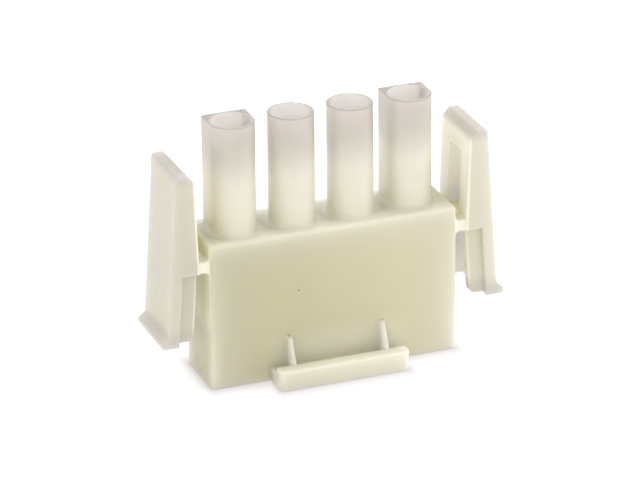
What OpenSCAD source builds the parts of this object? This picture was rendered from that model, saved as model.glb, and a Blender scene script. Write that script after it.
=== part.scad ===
// Plug housing for crimped wire contacts: one row of circuits, moulded in one piece.
// The housing stands on its wire-entry face. X runs along the row, -Y is the face with
// the rail, and +Z points the way the silos plug into the mating half. The origin is
// the middle of the wire-entry face, on the plane of the circuit axes. Millimetres.

/* [Circuits] */
// Distance between neighbouring circuit axes
pitch = 6.35; // [6.1:0.05:8]
// Number of circuits in the row
circuits = 4; // [3:1:8]

/* [Body] */
// Distance from an outer circuit axis to the body's end face
end_margin = 3.83; // [3.3:0.02:5]
// Depth of the body and of the latch arms, front to back
body_d = 7.37; // [6.8:0.01:9]
// Height of the body, from the wire-entry face to the foot of the silos
body_h = 15.85; // [15.4:0.05:19]
// Radius of the body's upright edges
body_edge_r = 0.4; // [0.2:0.05:0.9]

/* [Silos] */
// Height of the silos above the body
silo_h = 11.75; // [8:0.05:16]
// Outer diameter of a silo
silo_d = 4.76; // [4.6:0.02:5.4]
// Radius of the upright edges at the square back of the two keyed silos
key_edge_r = 0.22; // [0.1:0.02:0.5]
// Radius of the fillet where a silo meets the body
silo_fillet_r = 0.4; // [0.2:0.05:0.7]

/* [Cavities] */
// Bore of a silo, open at its rim
silo_bore_d = 4.02; // [3.7:0.02:4.2]
// Bore that the wire and its insulation enter, open at the wire-entry face
wire_bore_d = 5; // [4.5:0.05:5.4]
// Depth of the wire-entry bore
wire_bore_h = 10.8; // [8:0.1:12]
// Width of the lead-in chamfer at the mouth of the wire-entry bore
wire_lead_in = 0.25; // [0.1:0.05:0.3]
// Bore of the neck that a contact's shoulder seats on
neck_d = 3.4; // [3:0.05:3.6]
// Height of the straight part of the neck
neck_h = 1.2; // [0.8:0.1:2]
// Height of the funnel that leads a contact from the wire-entry bore into the neck
funnel_h = 0.7; // [0.3:0.1:1.2]

/* [Latch arms] */
// Gap between the body's end and an arm, at the hinge web
arm_gap = 1.1; // [0.9:0.05:2]
// Height of an arm's top above the wire-entry face
arm_top = 23.83; // [20:0.01:26]
// Height of an arm's foot above the wire-entry face
arm_foot = 5.38; // [3:0.02:7]
// Thickness of an arm's outer plate, which is also the width of its flat top
arm_plate_t = 1.2; // [0.9:0.05:1.6]
// Width in X of an arm at its top edge, chamfer included
arm_top_w = 1.96; // [1.8:0.02:2.6]
// Lean of an arm's outer face, foot outwards, in degrees
arm_outer_lean = 3.65; // [2:0.1:5]
// Lean of an arm's inner face above the web, foot inwards, in degrees
arm_inner_lean = 2.1; // [1:0.1:3]
// Lean of an arm's inner face below the web, foot outwards, in degrees
arm_foot_lean = 4.3; // [3:0.1:6]
// Height of the lead-in chamfer on an arm's inner top edge
lead_in_h = 0.8; // [0.4:0.05:1.4]
// Radius of an arm's outer top edge
arm_top_r = 0.35; // [0.1:0.05:0.6]
// Radius of the inner corner at the foot of an arm's ribs
arm_foot_r = 0.75; // [0.3:0.05:1.2]
// Thickness in Y of the two flanges beside the latch window
flange_t = 2.1; // [1.4:0.05:2.4]
// Thickness in Y of the two ribs that stiffen an arm below the web
rib_t = 1; // [0.7:0.05:1.6]
// Distance that the ribs stand back from the front and back faces
rib_inset = 0.55; // [0.2:0.05:1]
// Height of the crossbar that closes the latch window at the top
crossbar_h = 2.75; // [1.6:0.05:4]
// Corner radius of the latch window
window_r = 0.4; // [0.2:0.05:0.8]
// Height of the step between the ribs' foot and the lip's underside
lip_step = 0.26; // [0.1:0.02:0.8]
// Distance that the finger lip stands out from an arm's outer face
lip_out = 0.72; // [0.4:0.02:1.2]
// Height of the finger lip
lip_h = 1.25; // [0.9:0.05:2]
// Radius of the finger lip's tip
lip_r = 0.4; // [0.1:0.02:0.5]

/* [Hinge webs] */
// Thickness of a web
web_t = 1.2; // [0.8:0.05:1.8]
// Distance of a web's top below the body's top
web_drop = 1.65; // [1:0.05:3]
// Distance that a web's ends stand back from the front and back faces
web_inset = 0.2; // [0.1:0.05:0.8]
// Radius of the fillets between a web and the body's end
web_fillet_r = 0.45; // [0.2:0.05:0.6]

/* [Rail] */
// Length of the rail
rail_l = 14.1; // [12:0.1:18]
// Distance that the rail stands out from the body's front
rail_out = 3.12; // [2.2:0.02:4]
// Height of the rail's front bar
rail_h = 2.2; // [1.8:0.05:3]
// Thickness in Y of the rail's front bar
rail_bar_t = 1.55; // [1:0.05:2]
// Height of the ledge that carries the front bar
ledge_h = 1.5; // [1:0.05:1.7]
// Radius of the rail's upright front edges
rail_r = 0.7; // [0.3:0.05:0.9]
// Distance between the two gussets, middle to middle
gusset_span = 10.1; // [8:0.1:11]
// Thickness of a gusset
gusset_t = 0.45; // [0.3:0.05:1]
// Height of a gusset's flat top above the wire-entry face
gusset_top = 4.65; // [4:0.05:7]
// Width in Y of a gusset's flat top
gusset_top_w = 0.5; // [0.2:0.05:1]
// Reach of a gusset's foot over the front bar
gusset_lap = 0.15; // [0.05:0.05:0.6]

/* [Hidden] */
nylon = [0.86, 0.84, 0.74];
$fn = 96;
arc_steps = 6;
cut = 0.05;                                  // overshoot of a cut through a face
body_l = (circuits - 1) * pitch + 2 * end_margin;
body_end = body_l / 2;
front = -body_d / 2;
rim = body_h + silo_h;
silo_r = silo_d / 2;
neck_top = wire_bore_h + funnel_h + neck_h;
web_top = body_h - web_drop;
web_low = web_top - web_t;
web_mid = web_top - web_t / 2;
inner_x = body_end + arm_gap;                // inner face of an arm at the web's middle
window_w = body_d - 2 * flange_t;
window_top = arm_top - crossbar_h;
rib_foot = arm_foot + lip_step;
inner_top_x = inner_x + tan(arm_inner_lean) * (arm_top - lead_in_h - web_mid);
outer_top_x = inner_top_x + arm_top_w;
lip_tip_h = 1.6 * lip_r;                     // upright part of the lip's tip
gusset_out = rail_out - rail_bar_t + gusset_lap;

// X of an arm's outer face, of its plate's inner face and middle, and of its foot's inner face
function outer_x(z) = outer_top_x + tan(arm_outer_lean) * (arm_top - z);
function plate_x(z) = outer_x(z) - arm_plate_t;
function core_x(z) = outer_x(z) - arm_plate_t / 2;
function foot_x(z) = inner_x + tan(arm_foot_lean) * (web_mid - z);

// Corner p of an outline, between its neighbours a and b, rounded with radius r
function unit(v) = v / norm(v);
function round_corner(a, p, b, r) =
    r == 0 ? [p] :
    let (u = unit(a - p), v = unit(b - p), half = acos(u * v) / 2,
         mid = p + unit(u + v) * r / sin(half),
         start = p + u * r / tan(half) - mid, end = p + v * r / tan(half) - mid,
         turn = 180 - 2 * half, way = sign(start.x * end.y - start.y * end.x))
    [for (i = [0 : arc_steps]) let (t = way * turn * i / arc_steps)
        mid + [start.x * cos(t) - start.y * sin(t), start.x * sin(t) + start.y * cos(t)]];

// An outline given as [x, z, radius] corners
function rounded(c) = let (n = len(c), p = [for (q = c) [q.x, q.y]])
    [for (i = [0 : n - 1]) each round_corner(p[(i + n - 1) % n], p[i], p[(i + 1) % n], c[i][2])];

// A rectangle about the origin with round corners
module rounded_rect(l, d, r) {
    square([l - 2 * r, d], center = true);
    square([l, d - 2 * r], center = true);
    for (x = [-1, 1], y = [-1, 1]) translate([x * (l / 2 - r), y * (d / 2 - r)]) circle(r);
}

// Section of a fillet of radius r in the corner at [0, 0], sunk into both walls
module fillet_section(r) {
    difference() {
        translate([-cut, -cut]) square(r + cut);
        translate([r, r]) circle(r);
    }
}

// A straight fillet of length l along +Y, in the corner between z = 0 and x = 0
module straight_fillet(l, r) {
    translate([0, l, 0]) rotate([90, 0, 0]) linear_extrude(l) fillet_section(r);
}

// A fillet turned round an upright edge or cylinder of radius r0
module ring_fillet(r0, r) {
    rotate_extrude() translate([r0, 0]) fillet_section(r);
}

module at_circuits() {
    for (i = [0 : circuits - 1]) translate([(i - (circuits - 1) / 2) * pitch, 0, 0]) children();
}

module body_block() {
    linear_extrude(body_h) rounded_rect(body_l, body_d, body_edge_r);
}

module round_silo() {
    cylinder(d = silo_d, h = rim);
    translate([0, 0, body_h]) ring_fillet(silo_r, silo_fillet_r);
}

// A keyed silo is round in front and square behind, so the plug fits one way only
module keyed_silo() {
    round_silo();
    linear_extrude(rim) {
        translate([-silo_r, 0]) square([silo_d, silo_r - key_edge_r]);
        translate([-silo_r + key_edge_r, 0]) square([silo_d - 2 * key_edge_r, silo_r]);
        for (x = [-1, 1]) translate([x * (silo_r - key_edge_r), silo_r - key_edge_r]) circle(key_edge_r);
    }
    translate([0, 0, body_h]) {
        for (x = [0, 1]) mirror([x, 0, 0]) {
            translate([silo_r, 0, 0]) straight_fillet(silo_r - key_edge_r, silo_fillet_r);
            translate([silo_r - key_edge_r, silo_r - key_edge_r, 0]) ring_fillet(key_edge_r, silo_fillet_r);
        }
        translate([silo_r - key_edge_r, silo_r, 0]) rotate([0, 0, 90])
            straight_fillet(silo_d - 2 * key_edge_r, silo_fillet_r);
    }
}

module silos() {
    last = circuits - 1;
    for (i = [0 : last]) translate([(i - last / 2) * pitch, 0, 0])
        if (i == 0 || i == last) keyed_silo(); else round_silo();
}

// The way of a contact: wire-entry bore, funnel, neck and silo bore
module cavity() {
    translate([0, 0, -cut]) cylinder(d = wire_bore_d, h = wire_bore_h + cut);
    translate([0, 0, -cut])
        cylinder(d1 = wire_bore_d + 2 * (wire_lead_in + cut), d2 = wire_bore_d, h = wire_lead_in + cut);
    translate([0, 0, wire_bore_h]) cylinder(d1 = wire_bore_d, d2 = neck_d, h = funnel_h);
    translate([0, 0, wire_bore_h]) cylinder(d = neck_d, h = neck_top - wire_bore_h + cut);
    translate([0, 0, neck_top]) cylinder(d = silo_bore_d, h = rim - neck_top + cut);
}

// Outline of an arm's flanges and crossbar in the XZ plane, from the plate's middle inwards
function flange_outline() = [
    [core_x(arm_top), arm_top],
    [plate_x(arm_top), arm_top],
    [inner_top_x, arm_top - lead_in_h],
    [inner_x, web_mid],
    [foot_x(web_low), web_low],
    [core_x(web_low), web_low]];

// Outline of an arm's ribs below the web, from the plate's middle inwards
function rib_outline() = rounded([
    [core_x(web_mid), web_mid, 0],
    [inner_x, web_mid, 0],
    [foot_x(rib_foot), rib_foot, arm_foot_r],
    [core_x(rib_foot), rib_foot, 0]]);

// Outline of the outer plate with its finger lip
function plate_outline() = rounded([
    [outer_x(arm_top), arm_top, arm_top_r],
    [plate_x(arm_top), arm_top, 0],
    [plate_x(arm_foot), arm_foot, 0],
    [outer_x(arm_foot) + lip_out, arm_foot, lip_r],
    [outer_x(arm_foot) + lip_out, arm_foot + lip_tip_h, lip_r],
    [outer_x(arm_foot + lip_h), arm_foot + lip_h, 0]]);

// Extrudes an XZ outline along Y, from y = low to y = high
module along_y(low, high) {
    translate([0, high, 0]) rotate([90, 0, 0]) linear_extrude(high - low) children();
}

// The latch window between an arm's flanges, with the crossbar above it
module latch_window() {
    low = web_low - cut;
    straight_h = window_top - window_r - low;
    translate([body_end, 0, low]) rotate([90, 0, 90]) linear_extrude(outer_x(arm_foot)) {
        translate([-window_w / 2, 0]) square([window_w, straight_h]);
        translate([-window_w / 2 + window_r, 0]) square([window_w - 2 * window_r, straight_h + window_r]);
        for (x = [-1, 1]) translate([x * (window_w / 2 - window_r), straight_h]) circle(window_r);
    }
}

module latch_arm() {
    along_y(front, -front) polygon(plate_outline());
    difference() {
        along_y(front, -front) polygon(flange_outline());
        latch_window();
    }
    for (y = [0, 1]) mirror([0, y, 0])
        along_y(front + rib_inset, front + rib_inset + rib_t) polygon(rib_outline());
}

// The web that an arm rocks on, with fillets at the body's end
module hinge_web() {
    reach = plate_x(web_mid) - body_end + arm_plate_t / 2;
    length = body_d - 2 * web_inset;
    translate([body_end - web_t, -length / 2, web_low]) cube([web_t + reach, length, web_t]);
    translate([body_end, -length / 2, web_top]) straight_fillet(length, web_fillet_r);
    translate([body_end, -length / 2, web_low]) mirror([0, 0, 1]) straight_fillet(length, web_fillet_r);
}

module latch() {
    latch_arm();
    hinge_web();
}

// The rail on the front: a ledge, a front bar that stands above it, and two gussets
module rail() {
    bar_back = front - rail_out + rail_bar_t;
    translate([-rail_l / 2, bar_back - cut, 0]) cube([rail_l, rail_out, ledge_h]);
    linear_extrude(rail_h) intersection() {
        translate([0, front]) rounded_rect(rail_l, 2 * rail_out, rail_r);
        translate([-rail_l / 2, front - rail_out]) square([rail_l, rail_bar_t]);
    }
    for (x = [-1, 1]) translate([x * gusset_span / 2 - gusset_t / 2, 0, 0])
        rotate([90, 0, 90]) linear_extrude(gusset_t) polygon([
            [front + cut, gusset_top], [front - gusset_top_w, gusset_top],
            [front - gusset_out, rail_h], [front - gusset_out, ledge_h / 2],
            [front + cut, ledge_h / 2]]);
}

module housing() {
    color(nylon) difference() {
        union() {
            body_block();
            silos();
            rail();
            for (x = [0, 1]) mirror([x, 0, 0]) latch();
        }
        at_circuits() cavity();
    }
}

housing();
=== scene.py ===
"""A single-row plug housing for crimped wire contacts, moulded in natural nylon.

Sizes are metres in the property groups and millimetres inside the shape functions. The frame is
the packed model: X runs along the row of circuits, -Y is the face with the rail, +Z is the way
the silos point, and the wire-entry face stands on z = 0.
"""
import math

import bmesh
import bpy
from mathutils import Matrix, Vector


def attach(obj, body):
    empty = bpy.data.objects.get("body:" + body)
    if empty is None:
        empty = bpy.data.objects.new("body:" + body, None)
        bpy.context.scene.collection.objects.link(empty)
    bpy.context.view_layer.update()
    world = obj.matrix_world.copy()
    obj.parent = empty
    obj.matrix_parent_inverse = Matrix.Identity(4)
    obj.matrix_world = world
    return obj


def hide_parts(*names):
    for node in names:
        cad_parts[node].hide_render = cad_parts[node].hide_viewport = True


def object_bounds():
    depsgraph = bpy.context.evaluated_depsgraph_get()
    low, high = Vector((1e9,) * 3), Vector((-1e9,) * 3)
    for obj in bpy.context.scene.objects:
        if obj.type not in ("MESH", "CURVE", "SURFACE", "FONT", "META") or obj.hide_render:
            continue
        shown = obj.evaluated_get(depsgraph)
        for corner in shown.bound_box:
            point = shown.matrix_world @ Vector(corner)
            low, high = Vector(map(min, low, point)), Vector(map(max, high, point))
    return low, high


bl_info = {
    "name": "Plug Housing",
    "version": (1, 0, 0),
    "blender": (4, 5, 0),
    "location": "3D View > Sidebar > Plug Housing",
    "description": "Builds a translucent nylon plug housing with silos and latch arms",
    "category": "Add Mesh",
}

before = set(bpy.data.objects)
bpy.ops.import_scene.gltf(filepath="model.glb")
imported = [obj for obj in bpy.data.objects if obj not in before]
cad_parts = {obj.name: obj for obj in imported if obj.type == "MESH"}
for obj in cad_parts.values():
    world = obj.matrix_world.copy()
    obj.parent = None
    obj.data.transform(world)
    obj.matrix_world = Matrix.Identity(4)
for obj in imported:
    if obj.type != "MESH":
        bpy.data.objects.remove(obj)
FRAME_LOW, FRAME_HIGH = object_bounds()

NODE = "housing"
NYLON = "moulded_nylon"
MM = 0.001
EDGE_STEPS = 5
CORNER_STEPS = 8
CIRCLE_STEPS = 72
SHARP_BEND = math.radians(35)
WELD = 1e-5

# Millimetres: the radius of a corner that is drawn sharp, and how far a solid sinks into its neighbour.
SMALL_RADIUS = 0.002
SINK = 0.6

# Shares of a named size: a gusset's round edges and its flare's, the lip's tip, and the fillets' root.
GUSSET_ROUND = 0.7
FLARE_ROUND = 0.8
LIP_TIP = 1.6
WEB_ROOT = 1.4

# The two small softboxes: name, direction, size in metres and power in watts.
SOFTBOXES = (
    ("rim_box", (-0.50, -0.10, 0.86), 0.06, 0.45),
    ("foot_box", (0.81, -0.015, 0.586), 0.05, 0.8),
)
SOFTBOX_AIM = Vector((0, 0, 0.02))
SOFTBOX_DISTANCE = 0.6
OVERHEAD = (0.75, 1.0)
SENSOR_WIDTH = 36.0


# ---------------------------------------------------------------- properties

def length(name, description, millimetres, lowest=0.0):
    """A length property, given in mm and held in metres."""
    return bpy.props.FloatProperty(
        name=name, description=description, default=millimetres * MM, min=lowest,
        precision=5, subtype="DISTANCE", unit="LENGTH")


def angle(name, description, degrees):
    """An angle property, given in degrees."""
    return bpy.props.FloatProperty(
        name=name, description=description, default=math.radians(degrees),
        precision=3, subtype="ANGLE", unit="ROTATION")


def colour(name, description, rgb):
    """A colour property."""
    return bpy.props.FloatVectorProperty(
        name=name, description=description, default=rgb, size=3, min=0.0, max=1.0, subtype="COLOR")


def factor(name, description, default, highest=1.0):
    """A property that is a plain number from nought."""
    return bpy.props.FloatProperty(
        name=name, description=description, default=default, min=0.0, max=highest, subtype="FACTOR")


class BlockSizes(bpy.types.PropertyGroup):
    """The block, its rail and its gussets."""
    end_margin: length("End margin", "Outer circuit axis to the block's end face", 3.83)
    height: length("Height", "Wire-entry face to the foot of the silos", 15.85)
    upright_edge: length("Upright edge", "Radius of the block's four upright edges", 0.4)
    top_edge: length("Top edge", "Radius round the block's top face", 0.3)
    bottom_edge: length("Bottom edge", "Radius round the wire-entry face", 0.14)
    rail_length: length("Rail length", "Length of the rail along the row", 14.1)
    bar_height: length("Bar height", "Height of the rail's front bar", 2.2)
    bar_thickness: length("Bar thickness", "Depth of the rail's front bar", 1.55)
    bar_corner: length("Bar corner", "Radius of the bar's two upright front edges", 0.7)
    bar_edge: length("Bar edge", "Radius of the bar's long edges", 0.22)
    ledge_height: length("Ledge height", "Height of the ledge behind the bar", 1.5)
    gusset_span: length("Gusset span", "Middle to middle of the gussets", 10.1)
    gusset_thickness: length("Gusset thickness", "Thickness of a gusset at its edge", 0.45)
    gusset_height: length("Gusset height", "Top of a gusset above the wire-entry face", 4.65)
    gusset_top: length("Gusset top", "Width of a gusset's flat top", 0.5)
    gusset_lap: length("Gusset lap", "Reach of a gusset over the bar", 0.15)
    gusset_flare: length("Gusset flare", "Radius of the flare where a gusset meets the block", 0.3)


class CircuitSizes(bpy.types.PropertyGroup):
    """The row of silos and the cavities through them."""
    count: bpy.props.IntProperty(
        name="Circuits", description="Silos in the row", default=4, min=3, max=8)
    pitch: length("Pitch", "Distance between neighbouring circuit axes", 6.35)
    silo: length("Silo", "Outer diameter of a silo", 4.76)
    silo_foot: length("Silo foot", "Radius of the fillet round a silo's foot", 0.4)
    key_edge: length("Key edge", "Radius of the upright edges behind a keyed silo", 0.22)
    rim_edge: length("Rim edge", "Radius of a silo's rim, inside and outside", 0.09)
    silo_bore: length("Silo bore", "Bore of a silo", 4.02)
    wire_bore: length("Wire bore", "Bore that the wire enters", 5.0)
    wire_bore_depth: length("Wire bore depth", "Depth of the wire-entry bore", 10.8)
    wire_lead_in: length("Lead-in", "Width of the chamfer at the wire bore's mouth", 0.25)
    neck: length("Neck", "Bore of the neck that a contact seats on", 3.4)
    neck_height: length("Neck height", "Height of the neck's straight part", 1.2)
    funnel_height: length("Funnel height", "Height of the funnel below the neck", 0.7)


class LatchSizes(bpy.types.PropertyGroup):
    """The two latch arms and the webs that carry them."""
    gap: length("Gap", "Block's end to an arm, at the web", 1.1)
    top: length("Top", "Height of an arm's top", 23.83)
    foot: length("Foot", "Height of an arm's foot", 5.38)
    plate: length("Plate", "Thickness of an arm's outer plate", 1.2)
    top_width: length("Top width", "Width of an arm's top, chamfer included", 1.96)
    outer_lean: angle("Outer lean", "Lean of the outer face", 3.65)
    inner_lean: angle("Inner lean", "Lean of the inner face above the web", 2.1)
    foot_lean: angle("Foot lean", "Lean of the inner face below the web", 4.3)
    lead_in: length("Lead-in", "Height of the chamfer on the inner top edge", 0.8)
    outer_top_edge: length("Outer top edge", "Radius of the outer top edge", 0.35)
    flange: length("Flange", "Thickness of the flanges beside the window", 2.1)
    crossbar: length("Crossbar", "Height of the crossbar above the window", 2.75)
    window_corner: length("Window corner", "Radius of the window's top corners", 0.4)
    rib: length("Rib", "Thickness of the ribs below the web", 1.0)
    rib_inset: length("Rib inset", "Ribs behind the front and back faces", 0.55)
    rib_corner: length("Rib corner", "Radius of the inner corner at a rib's foot", 0.75)
    lip_step: length("Lip step", "Step between the ribs' foot and the lip's underside", 0.26)
    lip_out: length("Lip reach", "Reach of the finger lip", 0.72)
    lip_height: length("Lip height", "Height of the finger lip", 1.25)
    lip_edge: length("Lip edge", "Radius of the finger lip's tip", 0.4)
    edge: length("Edge", "Radius of an arm's long edges", 0.1)
    web: length("Web", "Thickness of a hinge web", 1.2)
    web_drop: length("Web drop", "Top of a web below the block's top", 1.65)
    web_inset: length("Web inset", "Web's ends behind the front and back faces", 0.2)
    web_fillet: length("Web fillet", "Radius between a web and the block's end", 0.45)


class NylonFinish(bpy.types.PropertyGroup):
    """The uncoloured nylon."""
    thick_tint: colour("Thick tint", "Colour where the nylon is thickest", (0.60, 0.555, 0.365))
    # Painted light: the block is painted paler near its top and ends, where light enters it from two
    # faces.
    top_and_end_painted_light: colour("Edge tint", "Colour near the block's top and ends", (0.60, 0.565, 0.43))
    # Painted shade: multiplies the block darker towards its end at -X, where less light falls.
    left_end_painted_shade: colour("Dull tint", "Dulls the block towards one end of the row", (0.82, 0.83, 0.78))
    rail_tint: colour("Rail tint", "Colour of the rail", (0.68, 0.65, 0.51))
    # Painted shade: the gussets painted darker than their thin nylon would be.
    gusset_painted_shade: colour("Gusset tint", "Colour of the gussets over the rail", (0.47, 0.445, 0.36))
    arm_tint: colour("Arm tint", "Colour of the latch arms", (0.58, 0.55, 0.425))
    # Painted shade: the arm at -X is painted darker, where less light falls.
    left_arm_painted_shade: colour("Dull arm tint", "Colour of the arm at the duller end", (0.505, 0.475, 0.37))
    # Painted shade: the lower part of each end face, below the arm's foot, painted darker as if in the
    # arm's shade.
    end_face_painted_shade: colour("End tint", "Colour of the block's end faces", (0.53, 0.485, 0.295))
    # Painted light: the end faces behind the arms painted bright, standing in for light through the
    # arms.
    gap_painted_light: colour("Gap tint", "Colour of the end faces behind the arms", (0.94, 0.92, 0.70))
    # Painted light: the block's front low down behind the rail painted paler, lifting the shade there.
    rail_wall_painted_light: colour("Wall tint", "Colour of the block's face behind the rail", (0.74, 0.71, 0.575))
    # Painted light: an arm's face towards the block painted paler, standing in for light that passes
    # through the arm.
    arm_inner_painted_light: colour("Arm inner tint", "Colour of an arm's inner face", (0.80, 0.775, 0.64))
    # Painted light: the window and the slot between the ribs painted bright, lifting the shade in the
    # recess.
    window_painted_light: colour("Arm inside tint", "Colour inside an arm's window", (0.95, 0.915, 0.58))
    # Painted shade: an arm's top and finger lip painted darker, as faces under the dim overhead light.
    arm_end_painted_shade: colour("Arm end tint", "Colour of an arm's top and finger lip", (0.43, 0.395, 0.335))
    foot_tint: colour("Silo foot tint", "Colour of the silos near the block", (0.75, 0.725, 0.58))
    rim_tint: colour("Silo rim tint", "Colour of the silos near their rims", (0.865, 0.815, 0.73))
    # Painted light: the crease round each silo's foot painted paler, lifting its shade.
    fillet_painted_light: colour("Fillet tint", "Colour round the foot of a silo", (0.80, 0.77, 0.64))
    # Painted shade: a dark line painted along each silo's rim edge.
    rim_line_painted_shade: colour("Silo lip tint", "Colour of a silo's very edge", (0.55, 0.50, 0.48))
    # Painted light: the bores painted pale, standing in for light through the silo walls.
    bore_painted_light: colour("Silo bore tint", "Colour inside the silos", (0.94, 0.87, 0.85))
    depth: length("Depth", "How far light travels in the block", 1.8)
    silo_depth: length("Silo depth", "How far light travels in the silos", 6.0)
    arm_depth: length("Arm depth", "How far light travels in the arms", 2.2)
    arm_inside_depth: length("Arm inside depth", "How far light travels inside an arm's window", 5.0)
    rim_clearness: factor("Rim clearness", "Share of light that passes a silo's wall at its rim", 0.6)
    foot_glow: factor("Foot glow", "Share of light that spreads in a silo's wall at its foot", 0.1)
    rim_glow: factor("Rim glow", "Share of light that spreads in a silo's wall at its rim", 0.5)
    arm_glow: factor("Arm glow", "Share of light that spreads in an arm", 0.4)
    arm_inside_glow: factor("Arm inside glow", "Share of light that spreads in an arm's window", 0.65)
    travel_by_colour: colour("Travel by colour", "Travel of red, green and blue light", (1.0, 0.9, 0.75))
    ior: factor("Refraction", "Index of refraction", 1.53, 3.0)
    roughness: factor("Roughness", "Roughness of the moulded skin", 0.33)
    unevenness: factor("Unevenness", "Variation of the skin's roughness", 0.05)
    grain_height: length("Grain height", "Height of the skin's fine grain", 0.004)
    grain_strength: factor("Grain strength", "Strength of the skin's fine grain", 0.25)
    wave_height: length("Wave height", "Height of the skin's slow waves", 0.06)
    wave_strength: factor("Wave strength", "Strength of the skin's slow waves", 0.5)
    speck_tint: colour("Speck tint", "Colour of the dark speck in the front face", (0.09, 0.07, 0.05))
    speck_size: length("Speck size", "Radius of the dark speck", 0.1)
    speck_along: length("Speck along", "Place of the speck along the row", -3.9, -1.0)
    speck_height: length("Speck height", "Height of the speck", 9.58)


class StageSettings(bpy.types.PropertyGroup):
    """The floor, the lights and the camera."""
    floor_tint: colour("Floor tint", "Colour of the floor", (0.42, 0.41, 0.41))
    floor_glow: factor("Floor glow", "Light that the floor gives off", 0.76, 4.0)
    # Painted shadow: the floor's colour and glow dimmed round the housing's foot.
    contact_painted_shadow: colour("Contact tint", "Glow of the floor at the housing's foot", (0.33, 0.295, 0.31))
    contact_width: length("Contact width", "Width of the shadow beside the housing's foot", 1.5)
    contact_reach: length("Contact reach", "Width of the shadow before the housing's foot", 3.8)
    contact_start: factor("Contact start", "Share of its fading that the shadow starts with", 0.8)
    floor_size: length("Floor size", "Width of the floor", 16000.0)
    low_light: factor("Low light", "Brightness of the studio near the horizon", 1.42, 10.0)
    side_light: factor("Side light", "Extra light from the right, and less from the left", 0.25)
    high_light: factor("High light", "Brightness of the studio overhead", 0.85, 10.0)
    lens: length("Lens", "Focal length of the camera", 254.4)
    distance: length("Distance", "Camera to the point that it looks at", 459.147)
    aim_along: length("Aim along", "Place along the row that the camera looks at", -0.139, -1.0)
    aim_height: length("Aim height", "Height that the camera looks at", 12.958)
    nearest: length("Nearest", "Nearest thing that the camera sees", 10.0)
    furthest: length("Furthest", "Furthest thing that the camera sees", 40000.0)
    azimuth: angle("Azimuth", "Turn of the camera round the housing", -21.098)
    elevation: angle("Elevation", "Height of the camera above the horizon", 23.902)
    roll: angle("Roll", "Roll of the camera", -0.497)


GROUPS = {
    "housing_block": BlockSizes,
    "housing_circuits": CircuitSizes,
    "housing_latches": LatchSizes,
    "housing_nylon": NylonFinish,
    "housing_stage": StageSettings,
}


def in_millimetres(group):
    """The lengths of a property group in millimetres, and its other values as they are."""
    values = {}
    for name, item in group.bl_rna.properties.items():
        if name in ("rna_type", "name"):
            continue
        value = getattr(group, name)
        values[name] = value / MM if item.unit == "LENGTH" else value
    return type("Sizes", (), values)


def all_sizes(context):
    """Block, circuit and latch sizes, with the values that follow from them."""
    scene = context.scene
    block = in_millimetres(scene.housing_block)
    circuits = in_millimetres(scene.housing_circuits)
    latch = in_millimetres(scene.housing_latches)
    block.back = FRAME_HIGH.y / MM
    block.front = -block.back
    block.rail_front = FRAME_LOW.y / MM
    block.end = (circuits.count - 1) * circuits.pitch / 2 + block.end_margin
    circuits.rim = FRAME_HIGH.z / MM
    latch.web_top = block.height - latch.web_drop
    latch.web_low = latch.web_top - latch.web
    latch.web_middle = latch.web_top - latch.web / 2
    latch.inner = block.end + latch.gap
    latch.rib_foot = latch.foot + latch.lip_step
    latch.half_window = block.back - latch.flange
    latch.window_top = latch.top - latch.crossbar
    chamfer_foot = latch.top - latch.lead_in
    latch.inner_top = latch.inner + math.tan(latch.inner_lean) * (chamfer_foot - latch.web_middle)
    latch.outer_top = latch.inner_top + latch.top_width
    return block, circuits, latch


# ---------------------------------------------------------------- outlines and solids

def outline(corners, grow=0.0, steps=CORNER_STEPS):
    """Points of a polygon of (u, v, radius) corners, counter-clockwise, moved outwards by grow."""
    points = []
    for i, (u, v, radius) in enumerate(corners):
        here = Vector((u, v))
        before = (here - Vector(corners[i - 1][:2])).normalized()
        after = (Vector(corners[(i + 1) % len(corners)][:2]) - here).normalized()
        side = Vector((before.y, -before.x))
        next_side = Vector((after.y, -after.x))
        bisector = (side + next_side).normalized()
        turn = math.atan2(before.x * after.y - before.y * after.x, before.dot(after))
        convex = 1 if turn > 0 else -1
        here = here + (side + next_side) * (grow / (1 + side.dot(next_side)))
        bend = max(radius + convex * grow, SMALL_RADIUS)
        centre = here - bisector * (convex * bend / math.cos(turn / 2))
        for step in range(steps + 1):
            t = turn * step / steps
            spoke = Vector((side.x * math.cos(t) - side.y * math.sin(t),
                            side.x * math.sin(t) + side.y * math.cos(t)))
            points.append(centre + spoke * (convex * bend))
    return points


def circle(radius):
    """A round section, counter-clockwise."""
    turns = [i * (2 * math.pi / CIRCLE_STEPS) for i in range(CIRCLE_STEPS)]
    return [Vector((radius * math.cos(turn), radius * math.sin(turn))) for turn in turns]


def rectangle(low_u, low_v, high_u, high_v, radii):
    """Corners of a rectangle, with one radius for all or one for each corner from the low one."""
    if not isinstance(radii, (list, tuple)):
        radii = [radii] * 4
    places = [(low_u, low_v), (high_u, low_v), (high_u, high_v), (low_u, high_v)]
    return [(u, v, radius) for (u, v), radius in zip(places, radii)]


def quarter(steps):
    """Sine and cosine at even steps of a quarter turn."""
    turns = [math.pi / 2 * step / steps for step in range(steps + 1)]
    return [(math.sin(turn), math.cos(turn)) for turn in turns]


def rounding(low, high, low_edge, high_edge):
    """(grow, height) of each section of a solid with round edges at its two ends."""
    levels = [(low_edge * (sin - 1), low + low_edge * (1 - cos)) for sin, cos in quarter(EDGE_STEPS)]
    levels += [(high_edge * (cos - 1), high - high_edge * (1 - sin)) for sin, cos in quarter(EDGE_STEPS)]
    return levels


AXES = {
    "X": lambda u, v, w: (w, u, v),
    "Y": lambda u, v, w: (u, w, v),
    "Z": lambda u, v, w: (u, v, w),
}


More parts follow.
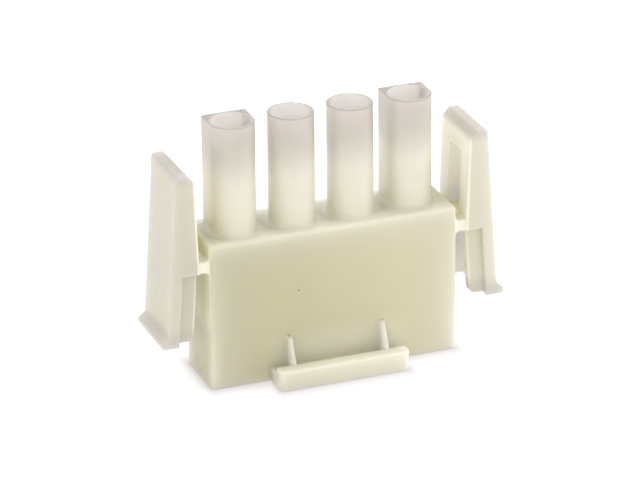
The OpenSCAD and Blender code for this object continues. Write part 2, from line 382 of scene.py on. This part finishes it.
def loft(name, sections, axis="Z"):
    """A closed solid through sections of (points, height), all with as many points."""
    place = AXES[axis]
    shape = bmesh.new()
    rings = [[shape.verts.new(place(p.x, p.y, height)) for p in points] for points, height in sections]
    for low, high in zip(rings, rings[1:]):
        for i in range(len(low)):
            shape.faces.new((low[i - 1], low[i], high[i], high[i - 1]))
    shape.faces.new(rings[0])
    shape.faces.new(rings[-1])
    bmesh.ops.remove_doubles(shape, verts=shape.verts, dist=WELD)
    bmesh.ops.recalc_face_normals(shape, faces=shape.faces)
    return as_object(name, shape)


def as_object(name, shape):
    """An object made of a bmesh, which is freed."""
    mesh = bpy.data.meshes.new(name)
    shape.to_mesh(mesh)
    shape.free()
    solid = bpy.data.objects.new(name, mesh)
    bpy.context.scene.collection.objects.link(solid)
    return solid


def bar(name, corners, low, high, axis="Z", low_edge=0.0, high_edge=0.0):
    """A solid with one outline all along an axis, and round edges at its ends."""
    levels = rounding(low, high, low_edge, high_edge)
    return loft(name, [(outline(corners, grow), height) for grow, height in levels], axis)


def baked(solid):
    """Puts the result of a solid's modifiers in its mesh."""
    graph = bpy.context.evaluated_depsgraph_get()
    mesh = bpy.data.meshes.new_from_object(solid.evaluated_get(graph), depsgraph=graph)
    solid.modifiers.clear()
    solid.data = mesh
    return solid


def combine(solid, others, operation):
    """Adds other solids to one, or cuts them out of it, and removes them."""
    for other in others:
        step = solid.modifiers.new(other.name, "BOOLEAN")
        step.object = other
        step.operation = operation
        step.solver = "MANIFOLD"
    baked(solid)
    for other in others:
        bpy.data.objects.remove(other)
    return solid


def mirrored(solid):
    """A copy on the other side of the plane halfway along the row."""
    twin = solid.copy()
    twin.data = solid.data.copy()
    bpy.context.scene.collection.objects.link(twin)
    twin.data.transform(Matrix.Scale(-1, 4, (1, 0, 0)))
    twin.data.flip_normals()
    return twin


# ---------------------------------------------------------------- nodes

class Wiring:
    """Adds nodes to a tree and fills their inputs. A value is a number, a colour or a socket."""

    def __init__(self, tree):
        tree.nodes.clear()
        self.nodes, self.links = tree.nodes, tree.links

    def fill(self, socket, value):
        """Links a socket into an input, or sets the input."""
        if isinstance(value, bpy.types.NodeSocket):
            self.links.new(value, socket)
        elif isinstance(value, (int, float)):
            socket.default_value = value
        else:
            socket.default_value = (*value, 1)

    def node(self, kind, *values):
        """A new node with its first inputs filled."""
        node = self.nodes.new(kind)
        for socket, value in zip(node.inputs, values):
            self.fill(socket, value)
        return node

    def worked(self, operation, *values):
        """The result of one sum."""
        node = self.node("ShaderNodeMath", *values)
        node.operation = operation
        return node.outputs[0]

    def both(self, first, second):
        return self.worked("MULTIPLY", first, second)

    def less(self, first, second):
        return self.worked("SUBTRACT", first, second)

    def more_of(self, first, second):
        return self.worked("MAXIMUM", first, second)

    def unsigned(self, value):
        return self.worked("ABSOLUTE", value)


def row_tree():
    """A node tree that sets copies of a solid along X, evenly about the origin."""
    tree = bpy.data.node_groups.new("Row of circuits", "GeometryNodeTree")
    face = tree.interface
    face.new_socket("Geometry", in_out="INPUT", socket_type="NodeSocketGeometry")
    count = face.new_socket("Count", in_out="INPUT", socket_type="NodeSocketInt")
    spacing = face.new_socket("Spacing", in_out="INPUT", socket_type="NodeSocketFloat")
    finish = face.new_socket("Finish", in_out="INPUT", socket_type="NodeSocketMaterial")
    face.new_socket("Geometry", in_out="OUTPUT", socket_type="NodeSocketGeometry")
    row = Wiring(tree)
    given = row.node("NodeGroupInput").outputs
    length_of_row = row.both(row.less(given["Count"], 1), given["Spacing"])
    line = row.node("GeometryNodeMeshLine", given["Count"])
    line.mode = "OFFSET"
    start = row.node("ShaderNodeCombineXYZ", row.both(length_of_row, -0.5))
    row.fill(line.inputs["Start Location"], start.outputs[0])
    row.fill(line.inputs["Offset"], row.node("ShaderNodeCombineXYZ", given["Spacing"]).outputs[0])
    copies = row.node("GeometryNodeInstanceOnPoints", line.outputs["Mesh"])
    row.fill(copies.inputs["Instance"], given["Geometry"])
    real = row.node("GeometryNodeRealizeInstances", copies.outputs["Instances"])
    dress = row.node("GeometryNodeSetMaterial", real.outputs["Geometry"])
    row.fill(dress.inputs["Material"], given["Finish"])
    row.node("NodeGroupOutput", dress.outputs["Geometry"])
    return tree, count.identifier, spacing.identifier, finish.identifier


def in_a_row(solid, count, spacing, finish):
    """Repeats a solid along the row of circuits."""
    tree, count_input, spacing_input, finish_input = row_tree()
    row = solid.modifiers.new("Row", "NODES")
    row.node_group = tree
    row[count_input] = count
    row[spacing_input] = spacing
    row[finish_input] = finish
    return baked(solid)


# ---------------------------------------------------------------- the moulding's parts

def block_solid(block):
    """The block, with round edges all over."""
    corners = rectangle(-block.end, block.front, block.end, block.back, block.upright_edge)
    return bar("block", corners, 0, block.height, "Z", block.bottom_edge, block.top_edge)


def rail_solids(block):
    """The ledge, the front bar and the two flared gussets."""
    half = block.rail_length / 2
    bar_back = block.rail_front + block.bar_thickness
    low_edge = block.bottom_edge
    ledge = bar("ledge", rectangle(-half, bar_back - SINK, half, block.front + SINK, low_edge),
                0, block.ledge_height, "Z", low_edge, low_edge)
    corners = rectangle(-half, block.rail_front, half, bar_back,
                        [block.bar_corner, block.bar_corner, low_edge, low_edge])
    front_bar = bar("front_bar", corners, 0, block.bar_height, "Z", low_edge, block.bar_edge)
    solids = [ledge, front_bar]
    for side in (-1, 1):
        solids += gusset_solids(block, side * block.gusset_span / 2, bar_back)
    return solids


def gusset_solids(block, middle, bar_back):
    """One gusset: a thin sloping rib, and the flare that blends it into the block."""
    half = block.gusset_thickness / 2
    edge = half * GUSSET_ROUND
    foot = bar_back - block.gusset_lap
    low = block.ledge_height / 2
    side_view = [(foot, low, 0), (block.front + SINK, low, 0),
                 (block.front + SINK, block.gusset_height + SINK / 2, 0),
                 (block.front, block.gusset_height, 0),
                 (block.front - block.gusset_top, block.gusset_height, block.gusset_top / 2),
                 (foot, block.bar_height, 0)]
    rib = bar("gusset", side_view, middle - half, middle + half, "X", edge, edge)
    flare = block.gusset_flare
    plan = [(middle - half - flare, block.front + SINK, 0), (middle - half - flare, block.front, 0),
            (middle - half, block.front, flare), (middle - half, block.front - flare, 0),
            (middle + half, block.front - flare, 0), (middle + half, block.front, flare),
            (middle + half + flare, block.front, 0), (middle + half + flare, block.front + SINK, 0)]
    blend = bar("gusset_flare", plan, low, block.gusset_height + flare / 2, "Z", 0, flare * FLARE_ROUND)
    return [rib, blend]


def silo_sections(section, foot, rim, fillet, rim_edge):
    """Sections of a silo from inside the block: foot fillet, shank and round rim."""
    levels = [(fillet, foot - SINK)]
    levels += [(fillet * (1 - sin), foot + fillet * (1 - cos)) for sin, cos in quarter(CORNER_STEPS)]
    levels += [(rim_edge * (cos - 1), rim - rim_edge * (1 - sin)) for sin, cos in quarter(EDGE_STEPS)]
    return [(section(grow), height) for grow, height in levels]


def round_silo(block, circuits):
    """A silo that is round all the way round."""
    radius = circuits.silo / 2
    return loft("round_silo", silo_sections(
        lambda grow: circle(radius + grow), block.height, circuits.rim,
        circuits.silo_foot, circuits.rim_edge))


def keyed_silo(block, circuits):
    """A silo that is round in front and square behind, so the plug fits one way only."""
    radius = circuits.silo / 2
    steps = CIRCLE_STEPS // 2
    back = [(radius, radius, circuits.key_edge), (-radius, radius, circuits.key_edge)]

    def section(grow):
        front = [Vector(((radius + grow) * math.cos(t), (radius + grow) * math.sin(t)))
                 for t in (math.pi * (1 + i / steps) for i in range(steps + 1))]
        box = [(-radius, 0, 0), (radius, 0, 0), *back]
        square = outline(box, grow)[2 * (CORNER_STEPS + 1):]
        return front + square

    return loft("keyed_silo", silo_sections(
        section, block.height, circuits.rim, circuits.silo_foot, circuits.rim_edge))


def cavity(circuits):
    """The way of a contact: lead-in, wire bore, funnel, neck, silo bore and round rim."""
    wire = circuits.wire_bore / 2
    neck = circuits.neck / 2
    bore = circuits.silo_bore / 2
    edge = circuits.rim_edge
    neck_foot = circuits.wire_bore_depth + circuits.funnel_height
    neck_top = neck_foot + circuits.neck_height
    lead = circuits.wire_lead_in
    steps = [(wire + 2 * lead, -lead), (wire, lead), (wire, circuits.wire_bore_depth),
             (neck, neck_foot), (neck, neck_top), (bore, neck_top)]
    steps += [(bore + edge * (1 - cos), circuits.rim - edge * (1 - sin))
              for sin, cos in quarter(EDGE_STEPS)]
    steps.append((bore + edge, circuits.rim + 1))
    return loft("cavity", [(circle(radius), height) for radius, height in steps])


def arm_solid(block, latch):
    """One latch arm: outer plate with its finger lip, flanges round the window, and two ribs."""
    def outer(z):
        return latch.outer_top + math.tan(latch.outer_lean) * (latch.top - z)

    def plate_inner(z):
        return outer(z) - latch.plate

    def core(z):
        return outer(z) - latch.plate / 2

    def foot_inner(z):
        return latch.inner + math.tan(latch.foot_lean) * (latch.web_middle - z)

    low, high, edge = block.front, block.back, latch.edge
    tip = latch.foot + LIP_TIP * latch.lip_edge
    plate = bar("plate", [
        (plate_inner(latch.foot), latch.foot, edge / 2),
        (outer(latch.foot) + latch.lip_out, latch.foot, latch.lip_edge),
        (outer(latch.foot) + latch.lip_out, tip, latch.lip_edge),
        (outer(latch.foot + latch.lip_height), latch.foot + latch.lip_height, edge),
        (outer(latch.top), latch.top, latch.outer_top_edge),
        (plate_inner(latch.top), latch.top, edge)], low, high, "Y", edge, edge)
    head = bar("head", [
        (foot_inner(latch.web_low), latch.web_low, edge / 2),
        (core(latch.web_low), latch.web_low, 0),
        (core(latch.top), latch.top, 0),
        (plate_inner(latch.top), latch.top, edge),
        (latch.inner_top, latch.top - latch.lead_in, edge),
        (latch.inner, latch.web_middle, 0)], low, high, "Y", edge, edge)
    half = latch.half_window
    round_top = [0, 0, latch.window_corner, latch.window_corner]
    opening = rectangle(-half, latch.web_low - SINK, half, latch.window_top, round_top)
    window = bar("window", opening, block.end, latch.outer_top + latch.plate, "X")
    combine(head, [window], "DIFFERENCE")
    ribs = []
    starts = {"front_rib": low + latch.rib_inset, "back_rib": high - latch.rib_inset - latch.rib}
    for name, start in starts.items():
        ribs.append(bar(name, [
            (foot_inner(latch.rib_foot), latch.rib_foot, latch.rib_corner),
            (core(latch.rib_foot), latch.rib_foot, 0),
            (core(latch.web_middle), latch.web_middle, 0),
            (latch.inner + edge, latch.web_middle, 0)], start, start + latch.rib, "Y", edge, edge))
    return combine(plate, [head, *ribs], "UNION")


def web_solid(block, latch):
    """The web that an arm rocks on, with fillets at the block's end."""
    reach = latch.inner + latch.plate
    spread = latch.web_fillet * WEB_ROOT
    side_view = [
        (block.end - SINK, latch.web_low - spread, 0), (block.end, latch.web_low - spread, 0),
        (block.end, latch.web_low, latch.web_fillet), (reach, latch.web_low, 0),
        (reach, latch.web_top, 0), (block.end, latch.web_top, latch.web_fillet),
        (block.end, latch.web_top + spread, 0), (block.end - SINK, latch.web_top + spread, 0)]
    low, high, edge = block.front + latch.web_inset, block.back - latch.web_inset, latch.edge
    return bar("web", side_view, low, high, "Y", edge, edge)


# ---------------------------------------------------------------- materials

# Where one tint, painted light or painted shade gives way to the next: start and full strength, in mm
# from the edge it belongs to.
BORE_WALL = (0.12, 0.0)
SILO_WALL = (-0.26, -0.1)
SILO_FOOT = (-0.3, 0.5)
SILO_LIP = (-0.12, -0.04)
FILLET_LOW = (-0.25, -0.05)
FILLET_HIGH = (1.2, 0.3)
CLEAR_RIM = (-7, -0.5)
RIM_MARGIN = 2
BLOCK_TOP = (0, -5)
BLOCK_ENDS = (0, -6)
END_FACE = (-0.15, -0.02)
GAP_FOOT = (0, 3)
RAIL_FRONT = (-0.2, -1.2)
RAIL_TOP = (0.6, 0.1)
GUSSET_FRONT = (-0.05, -0.25)
WALL_FRONT = (1, 0)
WALL_TOP = 6
WALL_MARGIN = 2
ARM_START = (0.02, 0.3)
ARM_FOOT = (2.4, 0.6)
ARM_TOP = (-1.4, -0.2)
ARM_INNER = (0.3, 0.05)
WINDOW_SIDE = (0.1, 0.03)
WINDOW_TOP = (0.15, 0.05)
PLATE_INNER = (0.5, 0.85)  # shares of the plate's thickness
SPECK_RIM = (0.6, 1.2)  # shares of the speck's radius

# Patterns of the skin: cycles per metre and detail.
GRAIN = (6000.0, 2.0)
WAVES = (350.0, 1.0)
PATCHES = (700.0, 3.0)
PATCH_RANGE = (0.3, 0.7)


class Recipe(Wiring):
    """The nodes of a material, or of the studio's light."""

    def __init__(self, tree, coordinates="Object"):
        super().__init__(tree)
        self.place = self.nodes.new("ShaderNodeTexCoord").outputs[coordinates]
        split = self.node("ShaderNodeSeparateXYZ", self.place)
        self.along, self.depth, self.height = split.outputs

    def reach(self, along, depth):
        """The length of a spoke on the floor's plane."""
        spoke = self.node("ShaderNodeCombineXYZ", along, depth)
        size = self.node("ShaderNodeVectorMath", spoke.outputs[0])
        size.operation = "LENGTH"
        return size.outputs["Value"]

    def distance(self, point):
        """Distance from a point."""
        away = self.node("ShaderNodeVectorMath", self.place)
        away.operation = "DISTANCE"
        away.inputs[1].default_value = point
        return away.outputs["Value"]

    def spread_over(self, value, low, high, to_low=0.0, to_high=1.0, easing="LINEAR"):
        """Maps a value from one range to another, clamped."""
        node = self.node("ShaderNodeMapRange", value, low, high, to_low, to_high)
        node.interpolation_type = easing
        return node.outputs["Result"]

    def eased(self, value, low, high):
        """How far a value is on the way from low to high, eased at both ends."""
        return self.spread_over(value, low, high, easing="SMOOTHSTEP")

    def between(self, place, low, high):
        """How far a coordinate is on the way from low to high, which are in mm."""
        return self.eased(place, low * MM, high * MM)

    def past(self, place, edge, border):
        """How far a coordinate is over the soft border of an edge, in mm."""
        return self.between(place, edge + border[0], edge + border[1])

    def mixed(self, amount, low, high):
        """A mix of two numbers."""
        node = self.node("ShaderNodeMix", amount)
        self.fill(node.inputs[2], low)
        self.fill(node.inputs[3], high)
        return node.outputs[0]

    def tinted(self, amount, low, high, blend="MIX"):
        """A mix of two colours."""
        node = self.node("ShaderNodeMix", amount)
        node.data_type = "RGBA"
        node.blend_type = blend
        self.fill(node.inputs[6], low)
        self.fill(node.inputs[7], high)
        return node.outputs[2]

    def noise(self, scale, detail):
        """A noise pattern, with its scale in cycles per metre."""
        node = self.node("ShaderNodeTexNoise", self.place)
        self.fill(node.inputs["Scale"], scale)
        self.fill(node.inputs["Detail"], detail)
        return node.outputs["Fac"]

    def bump(self, pattern, strength, distance, under=None):
        """A surface direction roughened by a noise pattern, over another if there is one."""
        node = self.node("ShaderNodeBump", strength, distance)
        self.fill(node.inputs["Height"], self.noise(*pattern))
        if under:
            self.fill(node.inputs["Normal"], under)
        return node.outputs["Normal"]


def new_material(name):
    """A material with a bare shader, and the recipe that its inputs are filled from."""
    material = bpy.data.materials.new(name)
    material.use_nodes = True
    mix = Recipe(material.node_tree)
    skin = mix.nodes.new("ShaderNodeBsdfPrincipled")
    mix.node("ShaderNodeOutputMaterial", skin.outputs["BSDF"])
    return material, mix, skin


def from_circuit(mix, circuits):
    """Distance from the axis of the nearest circuit."""
    half_row = (circuits.count - 1) * circuits.pitch / 2
    half = circuits.pitch / 2 * MM
    from_first = mix.worked("ADD", mix.along, half_row * MM)
    return mix.reach(mix.worked("WRAP", from_first, half, -half), mix.depth)


def block_tint(mix, finish, block, across, behind_arm, at_end, left_shade):
    """Deep where the block is thick. Painted light makes it paler near its top and ends, behind the rail
    and on the end faces behind the arms; painted shade darkens the lower end faces, the gussets and the
    block towards -X.
    """
    # Painted light: paler near the block's top and ends.
    tint = mix.tinted(mix.both(mix.past(mix.height, block.height, BLOCK_TOP),
                               mix.past(across, block.end, BLOCK_ENDS)),
                      finish.top_and_end_painted_light, finish.thick_tint)
    # Painted shade on the end faces below the arms' feet, painted light on the end faces behind the
    # arms.
    tint = mix.tinted(at_end, tint, mix.tinted(behind_arm, finish.end_face_painted_shade, finish.gap_painted_light))
    # Painted light on the block's front face low down behind the rail.
    near_rail = mix.both(
        mix.between(mix.height, WALL_TOP, block.bar_height),
        mix.between(across, block.rail_length / 2 + WALL_MARGIN, block.gusset_span / 2))
    near_rail = mix.both(near_rail, mix.past(mix.depth, block.front, WALL_FRONT))
    tint = mix.tinted(near_rail, tint, finish.rail_wall_painted_light)
    # Painted shade on the gussets.
    in_gusset = mix.past(mix.depth, block.front, GUSSET_FRONT)
    tint = mix.tinted(in_gusset, tint, finish.gusset_painted_shade)
    in_rail = mix.both(mix.past(mix.depth, block.front, RAIL_FRONT),
                       mix.past(mix.height, block.bar_height, RAIL_TOP))
    tint = mix.tinted(in_rail, tint, finish.rail_tint)
    # Painted shade: the block darker towards its end at -X.
    return mix.tinted(left_shade, tint, finish.left_end_painted_shade, "MULTIPLY")


def silo_tint(mix, finish, circuits, from_axis, near_rim):
    """Cream at the foot and pinker towards the rim, with a dark line at the rim's edge as painted shade
    and a bore painted pale as painted light.
    """
    tint = mix.tinted(near_rim, finish.foot_tint, finish.rim_tint)
    # Painted shade: a dark line along the rim's edge.
    at_rim = mix.both(mix.past(from_axis, circuits.silo / 2, SILO_WALL),
                      mix.past(mix.height, circuits.rim, SILO_LIP))
    tint = mix.tinted(at_rim, tint, finish.rim_line_painted_shade)
    # Painted light inside the bores.
    in_bore = mix.past(from_axis, circuits.silo_bore / 2, BORE_WALL)
    return mix.tinted(in_bore, tint, finish.bore_painted_light)


def inside_window(mix, block, latch, across):
    """How far a place is inside an arm's window, or in the slot between its ribs."""
    lean = math.tan(latch.outer_lean)
    outer = mix.less((latch.outer_top + lean * latch.top) * MM, mix.both(mix.height, lean))
    inwards = mix.unsigned(mix.depth)
    in_window = mix.both(mix.past(inwards, latch.half_window, WINDOW_SIDE),
                         mix.past(mix.height, latch.window_top, WINDOW_TOP))
    half_slot = block.back - latch.rib_inset - latch.rib
    in_slot = mix.both(mix.past(inwards, half_slot, WINDOW_SIDE),
                       mix.between(mix.height, latch.web_top, latch.web_low))
    low, high = (latch.plate * share for share in PLATE_INNER)
    return mix.both(mix.more_of(in_window, in_slot),
                    mix.between(mix.less(outer, across), low, high))


def arm_tint(mix, finish, latch, across, left_shade, inside):
    """Painted light makes it paler on the face towards the block and in the window; painted shade makes
    it darker at the top and the lip, and on the arm at -X.
    """
    above = mix.less(mix.height, latch.web_middle * MM)
    lean = mix.more_of(mix.both(above, math.tan(latch.inner_lean)),
                       mix.both(above, -math.tan(latch.foot_lean)))
    inner = mix.worked("ADD", latch.inner * MM, lean)
    # Painted shade: the arm at -X darker than the one at +X.
    tint = mix.tinted(left_shade, finish.arm_tint, finish.left_arm_painted_shade)
    # Painted light on the arm's face towards the block.
    at_inner = mix.past(mix.less(across, inner), 0, ARM_INNER)
    tint = mix.tinted(at_inner, tint, finish.arm_inner_painted_light)
    # Painted light inside the window and the slot.
    tint = mix.tinted(inside, tint, finish.window_painted_light)
    # Painted shade on the arm's top and finger lip.
    at_tip = mix.more_of(mix.past(mix.height, latch.foot, ARM_FOOT),
                         mix.past(mix.height, latch.top, ARM_TOP))
    return mix.tinted(at_tip, tint, finish.arm_end_painted_shade)


def nylon_material(finish, block, circuits, latch):
    """Translucent nylon: deeper in colour where it is thick, clearer in the thin walls, with painted
    light and painted shade in its colour.
    """
    material, mix, skin = new_material(NYLON)
    across = mix.unsigned(mix.along)
    height = mix.height
    from_axis = from_circuit(mix, circuits)
    in_silo = mix.past(height, block.height, SILO_FOOT)
    near_rim = mix.between(height, block.height - RIM_MARGIN, circuits.rim + RIM_MARGIN)
    in_arm = mix.past(across, block.end, ARM_START)
    at_end = mix.past(across, block.end, END_FACE)
    behind_arm = mix.past(height, latch.foot, GAP_FOOT)
    inside = inside_window(mix, block, latch, across)
    # Painted shade: 0 at the end at +X, 1 at the end at -X, which is painted darker.
    left_shade = mix.between(mix.along, block.end, -block.end)

    tint = block_tint(mix, finish, block, across, behind_arm, at_end, left_shade)
    tint = mix.tinted(in_silo, tint, silo_tint(mix, finish, circuits, from_axis, near_rim))
    # Painted light round the foot of each silo, where the crease would be in shade.
    on_fillet = mix.both(mix.between(from_axis, circuits.pitch / 2, circuits.silo / 2),
                         mix.past(height, block.height, FILLET_HIGH))
    on_fillet = mix.both(on_fillet, mix.past(height, block.height, FILLET_LOW))
    tint = mix.tinted(on_fillet, tint, finish.fillet_painted_light)
    tint = mix.tinted(in_arm, tint, arm_tint(mix, finish, latch, across, left_shade, inside))
    speck = Vector((finish.speck_along, block.front * MM, finish.speck_height))
    low, high = (finish.speck_size * share for share in SPECK_RIM)
    dark = mix.spread_over(mix.distance(speck), low, high, 1.0, 0.0)
    mix.fill(skin.inputs["Base Color"], mix.tinted(dark, tint, finish.speck_tint))

    clear = mix.both(mix.past(height, circuits.rim, CLEAR_RIM), finish.rim_clearness)
    mix.fill(skin.inputs["Transmission Weight"], mix.mixed(in_arm, clear, 0.0))
    block_glow = mix.mixed(mix.both(at_end, behind_arm), 1.0, finish.foot_glow)
    silo_glow = mix.mixed(near_rim, finish.foot_glow, finish.rim_glow)
    glow = mix.mixed(in_silo, block_glow, silo_glow)
    glow = mix.mixed(in_arm, glow, mix.mixed(inside, finish.arm_glow, finish.arm_inside_glow))
    mix.fill(skin.inputs["Subsurface Weight"], glow)
    travel = mix.mixed(in_silo, finish.depth, finish.silo_depth)
    arm_travel = mix.mixed(inside, finish.arm_depth, finish.arm_inside_depth)
    mix.fill(skin.inputs["Subsurface Scale"], mix.mixed(in_arm, travel, arm_travel))
    skin.subsurface_method = "RANDOM_WALK_SKIN"
    skin.inputs["Subsurface Radius"].default_value = finish.travel_by_colour
    skin.inputs["IOR"].default_value = finish.ior

    mix.fill(skin.inputs["Roughness"], mix.spread_over(
        mix.noise(*PATCHES), *PATCH_RANGE,
        finish.roughness - finish.unevenness, finish.roughness + finish.unevenness))
    grain = mix.bump(GRAIN, finish.grain_strength, finish.grain_height)
    waves = mix.bump(WAVES, finish.wave_strength, finish.wave_height, grain)
    mix.fill(skin.inputs["Normal"], waves)
    return material


def beside(mix, half_length, front, back, stage):
    """Distance from a rectangle on the floor, as a share of the painted contact shadow's width."""
    from_middle = mix.less(mix.depth, (front + back) / 2 * MM)
    parts = []
    for place, half, width in ((mix.along, half_length, stage.contact_width),
                               (from_middle, (back - front) / 2, stage.contact_reach)):
        past = mix.less(mix.unsigned(place), half * MM)
        parts.append(mix.worked("DIVIDE", mix.more_of(past, 0), width))
    return mix.reach(*parts)


def floor_material(stage, block):
    """A matt white sheet lit from below, with a narrow shadow painted round the housing's foot."""
    material, mix, sheet = new_material("studio_floor")
    near = mix.worked("MINIMUM", beside(mix, block.end, block.front, block.back, stage),
                      beside(mix, block.rail_length / 2, block.rail_front, block.front, stage))
    # Painted shadow: near is 0 at the housing's foot, where the floor is darkened.
    clear = mix.eased(near, -stage.contact_start, 1.0)
    for name, tint in (("Base Color", stage.floor_tint), ("Emission Color", (1, 1, 1))):
        mix.fill(sheet.inputs[name], mix.tinted(clear, stage.contact_painted_shadow, tint))
    sheet.inputs["Roughness"].default_value = 1.0
    sheet.inputs["Specular IOR Level"].default_value = 0.0
    sheet.inputs["Emission Strength"].default_value = stage.floor_glow
    return material


# ---------------------------------------------------------------- operators

class HOUSING_OT_mould_block(bpy.types.Operator):
    """Make the block with its rail and gussets"""
    bl_idname = "housing.mould_block"
    bl_label = "Block and Rail"

    def execute(self, context):
        block, _, _ = all_sizes(context)
        moulding = combine(block_solid(block), rail_solids(block), "UNION")
        moulding.name = "moulding"
        return {"FINISHED"}


class HOUSING_OT_add_latches(bpy.types.Operator):
    """Add the two latch arms and their hinge webs"""
    bl_idname = "housing.add_latches"
    bl_label = "Latch Arms"

    def execute(self, context):
        block, _, latch = all_sizes(context)
        arm = combine(arm_solid(block, latch), [web_solid(block, latch)], "UNION")
        combine(bpy.data.objects["moulding"], [mirrored(arm), arm], "UNION")
        return {"FINISHED"}


class HOUSING_OT_add_silos(bpy.types.Operator):
    """Add the round silos and the two keyed ones at the ends of the row"""
    bl_idname = "housing.add_silos"
    bl_label = "Silos"

    def execute(self, context):
        block, circuits, _ = all_sizes(context)
        finish = bpy.data.materials[NYLON]
        inner = in_a_row(round_silo(block, circuits), circuits.count - 2, circuits.pitch, finish)
        ends = in_a_row(keyed_silo(block, circuits), 2, circuits.pitch * (circuits.count - 1), finish)
        combine(bpy.data.objects["moulding"], [inner, ends], "UNION")
        return {"FINISHED"}


class HOUSING_OT_core_cavities(bpy.types.Operator):
    """Core out the cavities, and finish the moulding as one piece"""
    bl_idname = "housing.core_cavities"
    bl_label = "Cavities"

    def execute(self, context):
        _, circuits, _ = all_sizes(context)
        finish = bpy.data.materials[NYLON]
        cores = in_a_row(cavity(circuits), circuits.count, circuits.pitch, finish)
        moulding = combine(bpy.data.objects["moulding"], [cores], "DIFFERENCE")
        shape = moulding.data
        shape.transform(Matrix.Scale(MM, 4))
        shape.materials.clear()
        shape.materials.append(finish)
        shape.shade_smooth()
        shape.set_sharp_from_angle(angle=SHARP_BEND)
        weigh = moulding.modifiers.new("Flat faces", "WEIGHTED_NORMAL")
        weigh.keep_sharp = True
        baked(moulding)
        moulding.name = moulding.data.name = "housing_moulding"
        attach(moulding, "root")
        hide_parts(NODE)
        return {"FINISHED"}


class HOUSING_OT_mix_nylon(bpy.types.Operator):
    """Make the nylon that the housing is moulded from"""
    bl_idname = "housing.mix_nylon"
    bl_label = "Nylon"

    def execute(self, context):
        nylon_material(context.scene.housing_nylon, *all_sizes(context))
        return {"FINISHED"}


class HOUSING_OT_set_stage(bpy.types.Operator):
    """Set up the floor, the soft light and the camera"""
    bl_idname = "housing.set_stage"
    bl_label = "Stage"

    def execute(self, context):
        stage = context.scene.housing_stage
        block, _, _ = all_sizes(context)
        set_floor(stage, block)
        set_dome(context.scene, stage)
        set_lights()
        set_camera(context.scene, stage)
        context.scene.view_settings.view_transform = "Standard"
        return {"FINISHED"}


def set_floor(stage, block):
    """A wide flat floor under the housing."""
    half = stage.floor_size / 2
    shape = bmesh.new()
    corners = [(-half, -half, 0), (half, -half, 0), (half, half, 0), (-half, half, 0)]
    shape.faces.new([shape.verts.new(corner) for corner in corners])
    floor = as_object("floor", shape)
    floor.data.materials.append(floor_material(stage, block))


def set_dome(scene, stage):
    """A white studio that is dimmer overhead than at the height of the housing."""
    world = bpy.data.worlds.new("studio_dome")
    world.use_nodes = True
    mix = Recipe(world.node_tree, "Generated")
    low = mix.worked("ADD", mix.both(mix.along, stage.side_light), stage.low_light)
    sky = mix.nodes.new("ShaderNodeBackground")
    mix.fill(sky.inputs["Strength"], mix.mixed(
        mix.eased(mix.height, *OVERHEAD), low, stage.high_light))
    mix.node("ShaderNodeOutputWorld", sky.outputs[0])
    scene.world = world


def set_lights():
    """Two small softboxes that glint on the silos' rims and feet."""
    for name, direction, size, power in SOFTBOXES:
        lamp = bpy.data.lights.new(name, "AREA")
        lamp.size = size
        lamp.energy = power
        light = bpy.data.objects.new(name, lamp)
        light.location = SOFTBOX_AIM + Vector(direction) * SOFTBOX_DISTANCE
        light.rotation_euler = (SOFTBOX_AIM - light.location).to_track_quat("-Z", "Y").to_euler()
        bpy.context.scene.collection.objects.link(light)


def set_camera(scene, stage):
    """A long lens, turned round the housing and tipped down on it."""
    lens = bpy.data.cameras.new("camera")
    lens.sensor_width = SENSOR_WIDTH
    lens.lens = stage.lens / MM
    lens.clip_start = stage.nearest
    lens.clip_end = stage.furthest
    camera = bpy.data.objects.new("camera", lens)
    turn, rise = stage.azimuth, stage.elevation
    back = Vector((math.sin(turn) * math.cos(rise), -math.cos(turn) * math.cos(rise), math.sin(rise)))
    right = Vector((math.cos(turn), math.sin(turn), 0))
    up = back.cross(right)
    rolled_right = right * math.cos(stage.roll) + up * math.sin(stage.roll)
    rolled_up = back.cross(rolled_right)
    aim = Vector((stage.aim_along, 0, stage.aim_height))
    axes = Matrix((rolled_right, rolled_up, back)).transposed().to_4x4()
    camera.matrix_world = Matrix.Translation(aim + back * stage.distance) @ axes
    scene.collection.objects.link(camera)
    scene.camera = camera


class HOUSING_PT_panel(bpy.types.Panel):
    """Lists the steps that make the housing"""
    bl_label = "Plug Housing"
    bl_idname = "HOUSING_PT_panel"
    bl_space_type = "VIEW_3D"
    bl_region_type = "UI"
    bl_category = "Plug Housing"

    def draw(self, context):
        for step in STEPS:
            self.layout.operator(step.bl_idname)
        for name, group in GROUPS.items():
            box = self.layout.box()
            box.label(text=group.__doc__)
            for item in group.__annotations__:
                box.prop(getattr(context.scene, name), item)


STEPS = (
    HOUSING_OT_set_stage,
    HOUSING_OT_mix_nylon,
    HOUSING_OT_mould_block,
    HOUSING_OT_add_latches,
    HOUSING_OT_add_silos,
    HOUSING_OT_core_cavities,
)


def register():
    for group in GROUPS.values():
        bpy.utils.register_class(group)
    for name, group in GROUPS.items():
        setattr(bpy.types.Scene, name, bpy.props.PointerProperty(type=group))
    for step in STEPS:
        bpy.utils.register_class(step)
    bpy.utils.register_class(HOUSING_PT_panel)


def unregister():
    bpy.utils.unregister_class(HOUSING_PT_panel)
    for step in reversed(STEPS):
        bpy.utils.unregister_class(step)
    for name, group in GROUPS.items():
        delattr(bpy.types.Scene, name)
        bpy.utils.unregister_class(group)


def main():
    register()
    bpy.ops.housing.set_stage()
    bpy.ops.housing.mix_nylon()
    bpy.ops.housing.mould_block()
    bpy.ops.housing.add_latches()
    bpy.ops.housing.add_silos()
    bpy.ops.housing.core_cavities()


if __name__ == "__main__":
    main()
